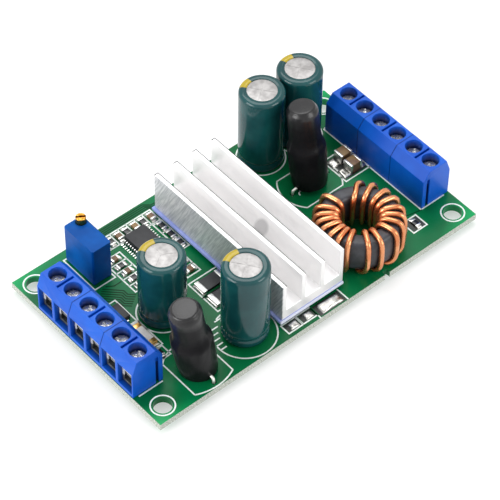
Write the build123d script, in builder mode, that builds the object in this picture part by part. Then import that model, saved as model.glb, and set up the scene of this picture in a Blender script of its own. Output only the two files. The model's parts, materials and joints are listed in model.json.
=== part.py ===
from build123d import *
from math import cos, radians, sin
import os

os.makedirs("parts", exist_ok=True)

# A step-up, step-down converter module. All sizes are in millimetres. The origin is the centre of
# the board's four holes, on its underside. +X runs along the board, +Z leaves the component side.

# Circuit board
board_length = 86.0
board_width = 48.0
board_thickness = 1.6
mount_hole_diameter = 4.0
mount_hole_inset = 3.5
notch_x = 17.6
notch_width = 1.3
notch_depth = 1.3
notch_sides = 8
solder_height = 1.1
solder_spread = 0.45
solder_skirt = 0.15
lead_fit = 0.1
right_end = board_length / 2
left_end = -board_length / 2
far_edge = board_width / 2
near_edge = -board_width / 2

# Terminal blocks, two poles each, three blocks at each end of the board
pole_pitch = 5.08
blocks_per_end = 3
block_height = 10.2
screw_to_front = 3.5
screw_to_back = 4.2
screw_inset = 3.6
row_y = -0.2
front_wall_height = 7.0
front_top = 2.34
back_wall_height = 7.9
back_top = 2.5
chamber_width = 4.28
chamber_floor = 0.9
chamber_back = 2.1
top_slot_length = 4.2
top_slot_width = 0.5
top_slot_depth = 1.5
dovetail_from_back = 0.95
dovetail_mouth = 0.7
dovetail_root = 1.0
dovetail_depth = 0.6
dovetail_fit = 0.05

# Clamp inside each pole: a screw that turns in place and lifts a cage around a fixed bar
screw_head_diameter = 3.56
screw_head_height = 1.0
screw_head_gap = 0.07
screw_head_sides = 12
screw_hole_sides = 16
shank_diameter = 2.5
shank_gap = 0.06
shank_sides = 8
thread_pitch = 0.45
clamp_turns = 3.5
cage_front = 2.4
cage_back = 2.0
cage_side_fit = 0.1
cage_wall = 0.6
cage_top_wall = 0.9
cage_play = 0.1
bar_front = 2.3
bar_width = 1.4
bar_thickness = 0.7
bar_pin_back = 2.95

# Heatsink on a soft pad over flat power transistors
heatsink_x = 0.03
heatsink_y = -0.15
heatsink_width = 16.5
heatsink_length = 40.5
heatsink_height = 10.0
heatsink_base = 2.6
fin_count = 4
fin_thickness = 1.1
pad_thickness = 0.7
pad_side_overhang = 0.6
pad_end_overhang = 0.35
transistor_height = 0.9
transistor_length = 6.0
transistor_width = 5.0
transistor_spacing_x = 8.4
transistor_spacing_y = 12.0
transistor_rows = 3

# Toroid choke, lying flat on its bottom turns
toroid_gap = 0.15
toroid_y = -14.0
core_outer_diameter = 17.8
core_inner_diameter = 9.4
core_height = 8.0
core_edge = 0.8
wire_diameter = 1.05
wire_fit = 0.07
wire_sides = 6
wire_bend_outer = 0.9
wire_bend_inner = 0.4
left_turns = 8
left_start_angle = 104.0
left_step_angle = 15.4
right_turns = 10
right_start_angle = 238.0
right_step_angle = 19.1
exit_turn_angle = 10.0

# Electrolytic capacitors, with places from the board's ends and edges
can_diameter = 10.0
can_edge = 0.6
can_rim_width = 1.2
can_recess = 0.25
can_lead_pitch = 5.0
can_left_from_end = 18.7
can_left_y = -2.05
can_left_height = 17.8
can_left_turn = 90
can_front_x = -14.7
can_front_from_edge = 7.5
can_front_height = 20.3
can_inner_from_end = 23.85
can_inner_from_edge = 6.3
can_outer_from_end = 13.5
can_outer_from_edge = 6.5
can_back_height = 20.5

# Sleeved rod chokes: one leans to the left end, the other to the far edge
choke_height = 20.4
choke_lift = 0.8
choke_neck_radius = 3.5
choke_crown_radius = 2.35
choke_crown_bevel = 0.9
choke_bulge_height = 10.8
choke_lead_pitch = 9.9
choke_lean = 9.4
choke_front_from_end = 14.9
choke_front_from_edge = 6.35
choke_front_bulge = 4.5
choke_back_from_end = 20.9
choke_back_from_edge = 18.8
choke_back_bulge = 4.35

# Through leads of capacitors, chokes and the trimmer, square in section here
lead_size = 0.7

# Trimmer
trimmer_from_end = 14.63
trimmer_from_edge = 7.1
trimmer_x = left_end + trimmer_from_end
trimmer_y = far_edge - trimmer_from_edge
trimmer_width = 4.83
trimmer_length = 9.53
trimmer_height = 10.03
trimmer_foot = 0.5
trimmer_screw_inset = 1.27
trimmer_screw_diameter = 2.2
trimmer_screw_rise = 1.5
trimmer_screw_depth = 1.4
trimmer_slot_width = 0.5
trimmer_slot_depth = 0.7
trimmer_slot_turn = 20
trimmer_corner = 0.3
trimmer_foot_inset = 0.7
trimmer_foot_size = 0.9
trimmer_lead_pitch = 2.54

# Controller chip
chip_x = -15.7
chip_from_edge = 10.3
chip_y = far_edge - chip_from_edge
chip_width = 5.3
chip_length = 8.2
chip_height = 1.75
chip_standoff = 0.12
chip_span = 7.8
chip_lead_pitch = 0.65
chip_leads_per_side = 12
chip_lead_width = 0.3
chip_lead_thickness = 0.16
chip_lead_exit = 0.9
chip_lead_root = 0.1

# Surface parts
shunt_x = -11.8
shunt_y = -2.35
shunt_step = 4.25
shunt_length = 6.4
shunt_width = 3.2
shunt_height = 0.65
diode_from_end = 11.4
diode_y = 3.1
diode_width = 2.7
diode_length = 4.3
diode_height = 1.0
diode_tab_length = 0.6
diode_tab_width = 1.62
diode_tab_thickness = 0.3
fuse_from_end = 11.7
fuse_y = -4.5
fuse_width = 2.2
fuse_length = 6.2
fuse_height = 0.8
fuse_cap_length = 1.2
fuse_cap_rise = 0.04
ceramic_length = 3.2
ceramic_width = 2.5
ceramic_height = 2.4
ceramic_from_end = 10.6
ceramic_y = 6.1
ceramic_step = 3.4
ceramic_shift = 0.3
ceramic_x = right_end - ceramic_from_end
ceramic_places = [(ceramic_x, ceramic_y), (ceramic_x - ceramic_shift, ceramic_y - ceramic_step)]
ceramic_end_width = 0.6
ceramic_end_rise = 0.05
small_length = 2.0
small_width = 1.25
resistor_height = 0.5
ceramic_chip_height = 0.8
back_row_from_edge = 4.6
back_row_x = -22.8
back_row_step = 2.15
back_row_count = 7
side_column_x = -23.1
side_column_below_chip = 7.1
side_column_step = 2.1
side_column_count = 5
pad_column_x = -9.7
pad_column_below_chip = 3.7
pad_column_step = 3.0
pad_column_count = 3
near_resistor_from_end = 11.7
near_resistor_from_edge = 6.3
fuse_resistor_gap = 1.3
lying_capacitor_x = -12.9
lying_capacitor_ys = [5.4, 2.9]

# Worked out from the sizes above
board_top = board_thickness
block_length = 2 * pole_pitch
row_length = blocks_per_end * block_length
screw_x = right_end - screw_inset
poles_per_end = 2 * blocks_per_end
pole_ys = [row_y - row_length / 2 + pole_pitch * (i + 0.5) for i in range(poles_per_end)]
ends = [("left", -1), ("right", 1)]
clamp_travel = clamp_turns * thread_pitch
cage_bottom = chamber_floor + cage_play
cage_top = front_wall_height - cage_play - clamp_travel
bar_top = cage_top - cage_top_wall - cage_play
bar_bottom = bar_top - bar_thickness
pad_bottom = board_top + transistor_height
heatsink_bottom = pad_bottom + pad_thickness
wire_radius = wire_diameter / 2
wire_outer = core_outer_diameter / 2 + wire_radius + wire_fit
wire_inner = core_inner_diameter / 2 - wire_radius - wire_fit
wire_bottom = board_top + wire_radius
wire_top = wire_bottom + 2 * (wire_radius + wire_fit) + core_height
core_bottom = wire_bottom + wire_radius + wire_fit
toroid_x = heatsink_x + heatsink_width / 2 + toroid_gap + wire_outer + wire_radius

# Capacitors: name, x, y, can height and the turn of the two leads
can_left_x = left_end + can_left_from_end
can_front_y = near_edge + can_front_from_edge
can_inner_x = right_end - can_inner_from_end
can_inner_y = far_edge - can_inner_from_edge
can_outer_x = right_end - can_outer_from_end
can_outer_y = far_edge - can_outer_from_edge
capacitors = [
    ("capacitor_left", can_left_x, can_left_y, can_left_height, can_left_turn),
    ("capacitor_front", can_front_x, can_front_y, can_front_height, 0),
    ("capacitor_back_inner", can_inner_x, can_inner_y, can_back_height, 0),
    ("capacitor_back_outer", can_outer_x, can_outer_y, can_back_height, 0),
]

# Rod chokes: name, x, y, direction of the lean in degrees from +X, bulge radius
choke_front_x = left_end + choke_front_from_end
choke_front_y = near_edge + choke_front_from_edge
choke_back_x = right_end - choke_back_from_end
choke_back_y = far_edge - choke_back_from_edge
chokes = [
    ("rod_choke_front", choke_front_x, choke_front_y, 180.0, choke_front_bulge),
    ("rod_choke_back", choke_back_x, choke_back_y, 90.0, choke_back_bulge),
]

# Surface parts that follow the board's ends and edges
diode_x = left_end + diode_from_end
fuse_x = left_end + fuse_from_end
fuse_resistor_y = fuse_y - fuse_length / 2 - fuse_resistor_gap - small_length / 2
back_row_y = far_edge - back_row_from_edge
side_column_y = chip_y - side_column_below_chip
pad_column_y = chip_y - pad_column_below_chip
upright_resistors = [
    (right_end - near_resistor_from_end, near_edge + near_resistor_from_edge),
    (diode_x, fuse_resistor_y),
]


def on_board(x, y, height=0.0):
    """A plane on the component side, square to the board, at x and y."""
    return Plane((x, y, board_top + height))


# Every lead that passes through the board: x, y and the two sides of its section
def lead_places():
    places = []
    for name, side in ends:
        for y in pole_ys:
            pin_x = side * (screw_x - bar_pin_back + bar_thickness / 2)
            places.append((pin_x, y, bar_thickness, bar_width))
    for name, x, y, height, turn in capacitors:
        for step in (-can_lead_pitch / 2, can_lead_pitch / 2):
            dx, dy = step * cos(radians(turn)), step * sin(radians(turn))
            places.append((x + dx, y + dy, lead_size, lead_size))
    for name, x, y, lean_to, bulge in chokes:
        for step in (-choke_lead_pitch / 2, choke_lead_pitch / 2):
            dx, dy = -step * sin(radians(lean_to)), step * cos(radians(lean_to))
            places.append((x + dx, y + dy, lead_size, lead_size))
    for step in (-trimmer_lead_pitch, 0, trimmer_lead_pitch):
        places.append((trimmer_x, trimmer_y + step, lead_size, lead_size))
    for point in winding_ends():
        places.append((point.X, point.Y, wire_diameter, wire_diameter))
    return places


def toroid_point(radius, z, angle):
    """A point at a radius and angle about the toroid's axis."""
    turned = radians(angle)
    return Vector(toroid_x + radius * cos(turned), toroid_y + radius * sin(turned), z)


def turn_angles():
    left = [left_start_angle + left_step_angle * i for i in range(left_turns)]
    right = [right_start_angle + right_step_angle * i for i in range(right_turns)]
    return left + right


def winding_ends():
    """Where the two ends of the wire enter the board."""
    angles = turn_angles()
    first = toroid_point(wire_outer, 0, angles[0])
    last = toroid_point(wire_outer, 0, angles[-1] + exit_turn_angle)
    return [first, last]


# Board: one laminate panel with four fixing holes, a notch and a hole for each lead
with BuildPart() as circuit_board:
    with BuildSketch():
        Rectangle(board_length, board_width)
        with GridLocations(
            board_length - 2 * mount_hole_inset, board_width - 2 * mount_hole_inset, 2, 2
        ):
            Circle(mount_hole_diameter / 2, mode=Mode.SUBTRACT)
        with Locations((notch_x, -board_width / 2 + (notch_depth - notch_width / 2) / 2)):
            Rectangle(notch_width, notch_depth - notch_width / 2, mode=Mode.SUBTRACT)
        with Locations((notch_x, -board_width / 2 + notch_depth - notch_width / 2)):
            RegularPolygon(notch_width / 2, notch_sides, rotation=180 / notch_sides, mode=Mode.SUBTRACT)
        for x, y, size_x, size_y in lead_places():
            with Locations((x, y)):
                Rectangle(size_x + 2 * lead_fit, size_y + 2 * lead_fit, mode=Mode.SUBTRACT)
    extrude(amount=board_thickness)
circuit_board.part.label = "circuit_board"
export_step(circuit_board.part, "parts/circuit_board.step")

# Solder: a cone over each clipped lead on the underside
with BuildPart() as solder_joints:
    for x, y, size_x, size_y in lead_places():
        with BuildSketch(Plane((x, y, 0))):
            Rectangle(size_x + 2 * solder_spread, size_y + 2 * solder_spread)
        extrude(amount=-solder_height)
        tip = solder_joints.edges(Select.LAST).group_by(Axis.Z)[0]
        chamfer(tip, solder_height - solder_skirt, solder_spread)
solder_joints.part.label = "solder_joints"
export_step(solder_joints.part, "parts/solder_joints.step")


def housing_profile(side):
    """Section of a terminal block across the board, seen from the near side of the board."""
    points = [
        (screw_x + screw_to_front, 0),
        (screw_x + screw_to_front, front_wall_height),
        (screw_x + front_top, block_height),
        (screw_x - back_top, block_height),
        (screw_x - screw_to_back, back_wall_height),
        (screw_x - screw_to_back, 0),
    ]
    return [(side * x, board_top + z) for x, z in points]


def dovetail(side, fit):
    """Plan outline of the joint between neighbouring blocks, thinner by the fit all round."""
    middle = screw_x - screw_to_back + dovetail_from_back + dovetail_root / 2
    mouth = dovetail_mouth / 2 - fit
    root = dovetail_root / 2 - fit
    depth = dovetail_depth - fit
    points = [(-mouth, 0), (-root, depth), (root, depth), (mouth, 0)]
    return [(side * (middle + x), y) for x, y in points]


# Terminal block housings, moulded, one for each pair of poles
for end_name, side in ends:
    for block in range(blocks_per_end):
        low_y = row_y - row_length / 2 + block * block_length
        poles = pole_ys[2 * block : 2 * block + 2]
        with BuildPart() as housing:
            with BuildSketch(Plane((0, low_y, 0), x_dir=(1, 0, 0), z_dir=(0, -1, 0))):
                with BuildLine():
                    Polyline(*housing_profile(side), close=True)
                make_face()
            extrude(amount=-block_length)
            with BuildSketch(Plane((0, low_y + block_length, board_top))):
                with BuildLine():
                    Polyline(*dovetail(side, dovetail_fit), close=True)
                make_face()
            extrude(amount=back_wall_height)
            with BuildSketch(Plane((0, low_y, board_top))):
                with BuildLine():
                    Polyline(*dovetail(side, 0), close=True)
                make_face()
            extrude(amount=back_wall_height, mode=Mode.SUBTRACT)
            chamber_low = screw_x - chamber_back
            chamber_depth = chamber_back + screw_to_front
            for y in poles:
                with BuildSketch(on_board(side * (chamber_low + chamber_depth / 2), y, chamber_floor)):
                    Rectangle(chamber_depth, chamber_width)
                extrude(amount=front_wall_height - chamber_floor, mode=Mode.SUBTRACT)
                with BuildSketch(on_board(side * screw_x, y, front_wall_height)):
                    hole_radius = screw_head_diameter / 2 + screw_head_gap
                    RegularPolygon(hole_radius, screw_hole_sides, major_radius=False)
                extrude(amount=block_height - front_wall_height, mode=Mode.SUBTRACT)
                pin_x = screw_x - (chamber_back + bar_pin_back) / 2
                with BuildSketch(on_board(side * pin_x, y)):
                    Rectangle(bar_pin_back - chamber_back + lead_fit, bar_width + 2 * lead_fit)
                extrude(amount=bar_top, mode=Mode.SUBTRACT)
            with BuildSketch(on_board(side * screw_x, low_y + pole_pitch, block_height)):
                Rectangle(top_slot_length, top_slot_width)
            extrude(amount=-top_slot_depth, mode=Mode.SUBTRACT)
        housing.part.label = f"terminal_housing_{end_name}_{block + 1}"
        export_step(housing.part, f"parts/{housing.part.label}.step")

# Contacts: a bent bar in each pole that the screw tip bears on, with its pin in the board
for end_name, side in ends:
    with BuildPart() as contacts:
        for y in pole_ys:
            outline = [
                (screw_x + bar_front, board_top + bar_top),
                (screw_x - bar_pin_back, board_top + bar_top),
                (screw_x - bar_pin_back, 0),
                (screw_x - bar_pin_back + bar_thickness, 0),
                (screw_x - bar_pin_back + bar_thickness, board_top + bar_bottom),
                (screw_x + bar_front, board_top + bar_bottom),
            ]
            with BuildSketch(Plane((0, y, 0), x_dir=(1, 0, 0), z_dir=(0, -1, 0))):
                with BuildLine():
                    Polyline(*[(side * x, z) for x, z in outline], close=True)
                make_face()
            extrude(amount=bar_width / 2, both=True)
    contacts.part.label = f"terminal_contacts_{end_name}"
    export_step(contacts.part, f"parts/{contacts.part.label}.step")

# Clamp screws and the cages that they lift
for end_name, side in ends:
    for pole, y in enumerate(pole_ys):
        tip = bar_top
        with BuildPart() as clamp_screw:
            with BuildSketch(on_board(side * screw_x, y, tip)):
                RegularPolygon(shank_diameter / 2, shank_sides)
            extrude(amount=front_wall_height - tip)
            with BuildSketch(on_board(side * screw_x, y, front_wall_height)):
                RegularPolygon(screw_head_diameter / 2, screw_head_sides)
            extrude(amount=screw_head_height)
        clamp_screw.part.label = f"clamp_screw_{end_name}_{pole + 1}"
        export_step(clamp_screw.part, f"parts/{clamp_screw.part.label}.step")

        cage_width = chamber_width - 2 * cage_side_fit
        with BuildPart() as cage:
            cage_end = Vector(side * (screw_x - cage_back), y, 0)
            with BuildSketch(Plane(cage_end, x_dir=(0, side, 0), z_dir=(side, 0, 0))):
                with Locations((0, board_top + (cage_bottom + cage_top) / 2)):
                    Rectangle(cage_width, cage_top - cage_bottom)
                low = cage_bottom + cage_wall
                high = cage_top - cage_top_wall
                with Locations((0, board_top + (low + high) / 2)):
                    Rectangle(cage_width - 2 * cage_wall, high - low, mode=Mode.SUBTRACT)
            extrude(amount=cage_back + cage_front)
            with BuildSketch(on_board(side * screw_x, y, high)):
                RegularPolygon(shank_diameter / 2 + shank_gap, shank_sides, major_radius=False)
            extrude(amount=cage_top_wall, mode=Mode.SUBTRACT)
        cage.part.label = f"clamp_cage_{end_name}_{pole + 1}"
        export_step(cage.part, f"parts/{cage.part.label}.step")

# Power transistors: flat packages in a grid under the pad
with BuildPart() as power_transistors:
    with BuildSketch(on_board(heatsink_x, heatsink_y)):
        with GridLocations(transistor_spacing_x, transistor_spacing_y, 2, transistor_rows):
            Rectangle(transistor_width, transistor_length)
    extrude(amount=transistor_height)
power_transistors.part.label = "power_transistors"
export_step(power_transistors.part, "parts/power_transistors.step")

# Soft pad that carries heat from the transistors to the heatsink
with BuildPart() as thermal_pad:
    with BuildSketch(Plane((heatsink_x - pad_side_overhang / 2, heatsink_y, pad_bottom))):
        Rectangle(heatsink_width + pad_side_overhang, heatsink_length + 2 * pad_end_overhang)
    extrude(amount=pad_thickness)
thermal_pad.part.label = "thermal_pad"
export_step(thermal_pad.part, "parts/thermal_pad.step")

# Heatsink: a length of extruded section with upright fins
with BuildPart() as heatsink:
    fin_spacing = (heatsink_width - fin_thickness) / (fin_count - 1)
    section_end = Plane((heatsink_x, heatsink_y + heatsink_length / 2, 0), x_dir=(1, 0, 0), z_dir=(0, -1, 0))
    with BuildSketch(section_end):
        with Locations((0, heatsink_bottom + heatsink_base / 2)):
            Rectangle(heatsink_width, heatsink_base)
        with Locations((0, heatsink_bottom + heatsink_height / 2)):
            with GridLocations(fin_spacing, 0, fin_count, 1):
                Rectangle(fin_thickness, heatsink_height)
    extrude(amount=heatsink_length)
heatsink.part.label = "heatsink"
export_step(heatsink.part, "parts/heatsink.step")

# Toroid core: a pressed ring with broken edges
with BuildPart() as toroid_core:
    with BuildSketch(Plane((toroid_x, toroid_y, core_bottom))):
        Circle(core_outer_diameter / 2)
        Circle(core_inner_diameter / 2, mode=Mode.SUBTRACT)
    extrude(amount=core_height)
    rims = toroid_core.edges().filter_by(GeomType.CIRCLE).sort_by(SortBy.RADIUS)[-2:]
    chamfer(rims, core_edge)
toroid_core.part.label = "toroid_core"
export_step(toroid_core.part, "parts/toroid_core.step")


def winding_path():
    """Points of one continuous wire: up outside, in over the top, down the hole, out below."""
    angles = turn_angles()
    points = [toroid_point(wire_outer, 0, angles[0])]
    for i, angle in enumerate(angles):
        if i > 0:
            points.append(toroid_point(wire_outer - wire_bend_outer, wire_bottom, angle))
            points.append(toroid_point(wire_outer, wire_bottom + wire_bend_outer, angle))
        points.append(toroid_point(wire_outer, wire_top - wire_bend_outer, angle))
        points.append(toroid_point(wire_outer - wire_bend_outer, wire_top, angle))
        points.append(toroid_point(wire_inner + wire_bend_inner, wire_top, angle))
        points.append(toroid_point(wire_inner, wire_top - wire_bend_inner, angle))
        points.append(toroid_point(wire_inner, wire_bottom + wire_bend_inner, angle))
        points.append(toroid_point(wire_inner + wire_bend_inner, wire_bottom, angle))
    last = angles[-1] + exit_turn_angle
    points.append(toroid_point(wire_outer - wire_bend_inner, wire_bottom, last))
    points.append(toroid_point(wire_outer, wire_bottom - wire_bend_inner, last))
    points.append(toroid_point(wire_outer, 0, last))
    return points


# Winding: enamelled copper wire, wound in two groups with a gap between them
with BuildPart() as toroid_winding:
    route = winding_path()
    with BuildLine():
        Polyline(*route)
    with BuildSketch(Plane(origin=route[0], z_dir=route[1] - route[0])):
        RegularPolygon(wire_radius, wire_sides)
    sweep(transition=Transition.RIGHT)
toroid_winding.part.label = "toroid_winding"
export_step(toroid_winding.part, "parts/toroid_winding.step")


def can_profile(height):
    """Half section of a can, from its axis out and up: wall, rim and recess."""
    radius = can_diameter / 2
    return [
        (0, 0),
        (radius, 0),
        (radius, height - can_edge),
        (radius - can_edge, height),
        (radius - can_edge - can_rim_width, height),
        (radius - can_edge - can_rim_width, height - can_recess),
        (0, height - can_recess),
    ]


# Electrolytic capacitors: a sealed can in a shrunk sleeve that folds over the top edge
for name, x, y, height, turn in capacitors:
    with BuildPart() as can:
        with BuildSketch(Plane((x, y, board_top), x_dir=(1, 0, 0), z_dir=(0, -1, 0))):
            with BuildLine():
                Polyline(*can_profile(height), close=True)
            make_face()
        revolve(axis=Axis((x, y, 0), (0, 0, 1)))
        with BuildSketch(Plane((x, y, 0))):
            with Locations(Location((0, 0, 0), (0, 0, turn))):
                with GridLocations(can_lead_pitch, 0, 2, 1):
                    Rectangle(lead_size, lead_size)
        extrude(amount=board_top)
    can.part.label = name
    export_step(can.part, f"parts/{name}.step")


def choke_profile(bulge):
    """Half section of a sleeved rod choke, from its axis out and up."""
    return [
        (0, 0),
        (bulge, 0),
        (bulge, choke_bulge_height),
        (choke_neck_radius, choke_bulge_height),
        (choke_neck_radius, choke_height - choke_crown_bevel),
        (choke_crown_radius, choke_height),
        (0, choke_height),
    ]


# Rod chokes: a wound rod sealed in a shrunk sleeve that leans on its two leads
for name, x, y, lean_to, bulge in chokes:
    foot = Vector(x, y, board_top + choke_lift)
    across = Vector(cos(radians(lean_to)), sin(radians(lean_to)), 0)
    upward = across * sin(radians(choke_lean)) + Vector(0, 0, cos(radians(choke_lean)))
    along = across.cross(Vector(0, 0, 1))
    with BuildPart() as choke:
        with BuildSketch(Plane(foot, x_dir=upward.cross(along), z_dir=along)):
            with BuildLine():
                Polyline(*choke_profile(bulge), close=True)
            make_face()
        revolve(axis=Axis(foot, upward))
        for step in (-choke_lead_pitch / 2, choke_lead_pitch / 2):
            end = Vector(x, y, 0) + along * step
            with BuildSketch(Plane(end, x_dir=(1, 0, 0), z_dir=(0, 0, 1))):
                Rectangle(lead_size, lead_size)
            extrude(amount=board_top + choke_lift + lead_size)
            reach = Vector(end.X, end.Y, board_top + choke_lift + lead_size / 2)
            with BuildSketch(Plane(reach, x_dir=across, z_dir=along * (-1 if step > 0 else 1))):
                Rectangle(lead_size, lead_size)
            extrude(amount=lead_size)
    choke.part.label = name
    export_step(choke.part, f"parts/{name}.step")

# Trimmer: a sealed box on four feet, with its screw in one corner of the top
trimmer_screw_x = trimmer_x + trimmer_width / 2 - trimmer_screw_inset
trimmer_screw_y = trimmer_y + trimmer_length / 2 - trimmer_screw_inset
trimmer_top = trimmer_foot + trimmer_height
with BuildPart() as trimmer_body:
    with BuildSketch(on_board(trimmer_x, trimmer_y, trimmer_foot)):
        Rectangle(trimmer_width, trimmer_length)
    extrude(amount=trimmer_height)
    chamfer(trimmer_body.edges().filter_by(Axis.Z), trimmer_corner)
    with BuildSketch(on_board(trimmer_x, trimmer_y)):
        foot_x = trimmer_width - 2 * trimmer_foot_inset
        foot_y = trimmer_length - 2 * trimmer_foot_inset
        with GridLocations(foot_x, foot_y, 2, 2):
            Rectangle(trimmer_foot_size, trimmer_foot_size)
    extrude(amount=trimmer_foot)
    with BuildSketch(on_board(trimmer_screw_x, trimmer_screw_y, trimmer_top)):
        Circle(trimmer_screw_diameter / 2 + shank_gap)
    extrude(amount=-trimmer_screw_depth, mode=Mode.SUBTRACT)
    with BuildSketch(Plane((trimmer_x, trimmer_y, 0))):
        with GridLocations(0, trimmer_lead_pitch, 1, 3):
            Rectangle(lead_size, lead_size)
    extrude(amount=board_top + trimmer_foot)
trimmer_body.part.label = "trimmer_body"
export_step(trimmer_body.part, "parts/trimmer_body.step")

with BuildPart() as trimmer_screw:
    screw_foot = trimmer_top - trimmer_screw_depth
    with BuildSketch(on_board(trimmer_screw_x, trimmer_screw_y, screw_foot)):
        Circle(trimmer_screw_diameter / 2)
    extrude(amount=trimmer_top + trimmer_screw_rise - screw_foot)
    with BuildSketch(on_board(trimmer_screw_x, trimmer_screw_y, trimmer_top + trimmer_screw_rise)):
        Rectangle(trimmer_screw_diameter, trimmer_slot_width, rotation=trimmer_slot_turn)
    extrude(amount=-trimmer_slot_depth, mode=Mode.SUBTRACT)
trimmer_screw.part.label = "trimmer_screw"
export_step(trimmer_screw.part, "parts/trimmer_screw.step")

# Controller chip: a moulded body with bent leads along both long sides
with BuildPart() as controller_chip:
    with BuildSketch(on_board(chip_x, chip_y, chip_standoff)):
        Rectangle(chip_width, chip_length)
    extrude(amount=chip_height)
    for side in (-1, 1):
        foot_x = side * chip_span / 2
        lead = [
            (side * (chip_width / 2 - chip_lead_root), chip_lead_exit),
            (foot_x, chip_lead_thickness),
            (foot_x, 0),
            (side * (chip_width / 2 - chip_lead_root), chip_lead_exit - 2 * chip_lead_thickness),
        ]
        for i in range(chip_leads_per_side):
            lead_y = chip_y + chip_lead_pitch * (i - (chip_leads_per_side - 1) / 2)
            with BuildSketch(Plane((chip_x, lead_y, board_top), x_dir=(1, 0, 0), z_dir=(0, -1, 0))):
                with BuildLine():
                    Polyline(*lead, close=True)
                make_face()
            extrude(amount=chip_lead_width / 2, both=True)
controller_chip.part.label = "controller_chip"
export_step(controller_chip.part, "parts/controller_chip.step")

# Shunts: flat metal-strip resistors
with BuildPart() as shunt_resistors:
    for y in (shunt_y, shunt_y - shunt_step):
        with BuildSketch(on_board(shunt_x, y)):
            Rectangle(shunt_length, shunt_width)
        extrude(amount=shunt_height)
shunt_resistors.part.label = "shunt_resistors"
export_step(shunt_resistors.part, "parts/shunt_resistors.step")

# Diode: a flat moulded body between two tabs
with BuildPart() as diode:
    with BuildSketch(on_board(diode_x, diode_y)):
        Rectangle(diode_width, diode_length)
    extrude(amount=diode_height)
    with BuildSketch(on_board(diode_x, diode_y)):
        Rectangle(diode_tab_width, diode_length + 2 * diode_tab_length)
    extrude(amount=diode_tab_thickness)
diode.part.label = "diode"
export_step(diode.part, "parts/diode.step")

# Fuse: a ceramic bar with a metal cap at each end
with BuildPart() as fuse:
    with BuildSketch(on_board(fuse_x, fuse_y)):
        Rectangle(fuse_width, fuse_length)
    extrude(amount=fuse_height)
    with BuildSketch(on_board(fuse_x, fuse_y)):
        with GridLocations(0, fuse_length - fuse_cap_length, 1, 2):
            Rectangle(fuse_width + 2 * fuse_cap_rise, fuse_cap_length)
    extrude(amount=fuse_height + fuse_cap_rise)
fuse.part.label = "fuse"
export_step(fuse.part, "parts/fuse.step")

# Ceramic capacitors: thick chips with plated ends
with BuildPart() as ceramic_capacitors:
    for x, y in ceramic_places:
        with BuildSketch(on_board(x, y)):
            Rectangle(ceramic_length, ceramic_width)
        extrude(amount=ceramic_height)
        with BuildSketch(on_board(x, y)):
            with GridLocations(ceramic_length - ceramic_end_width, 0, 2, 1):
                Rectangle(ceramic_end_width, ceramic_width + 2 * ceramic_end_rise)
        extrude(amount=ceramic_height + ceramic_end_rise)
ceramic_capacitors.part.label = "ceramic_capacitors"
export_step(ceramic_capacitors.part, "parts/ceramic_capacitors.step")

# Small chip resistors in rows, and small chip capacitors beside them
back_row = [(back_row_x + back_row_step * i, back_row_y) for i in range(back_row_count)]
side_column = [(side_column_x, side_column_y + side_column_step * i) for i in range(side_column_count)]
pad_column = [(pad_column_x, pad_column_y + pad_column_step * i) for i in range(pad_column_count)]
lying_capacitors = [(lying_capacitor_x, y) for y in lying_capacitor_ys]
with BuildPart() as chip_resistors:
    for x, y in back_row[1::2] + upright_resistors + pad_column:
        with BuildSketch(on_board(x, y)):
            Rectangle(small_width, small_length)
        extrude(amount=resistor_height)
    for x, y in side_column[1::2]:
        with BuildSketch(on_board(x, y)):
            Rectangle(small_length, small_width)
        extrude(amount=resistor_height)
chip_resistors.part.label = "chip_resistors"
export_step(chip_resistors.part, "parts/chip_resistors.step")

with BuildPart() as chip_capacitors:
    for x, y in back_row[0::2]:
        with BuildSketch(on_board(x, y)):
            Rectangle(small_width, small_length)
        extrude(amount=ceramic_chip_height)
    for x, y in side_column[0::2] + lying_capacitors:
        with BuildSketch(on_board(x, y)):
            Rectangle(small_length, small_width)
        extrude(amount=ceramic_chip_height)
chip_capacitors.part.label = "chip_capacitors"
export_step(chip_capacitors.part, "parts/chip_capacitors.step")
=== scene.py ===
import json

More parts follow.
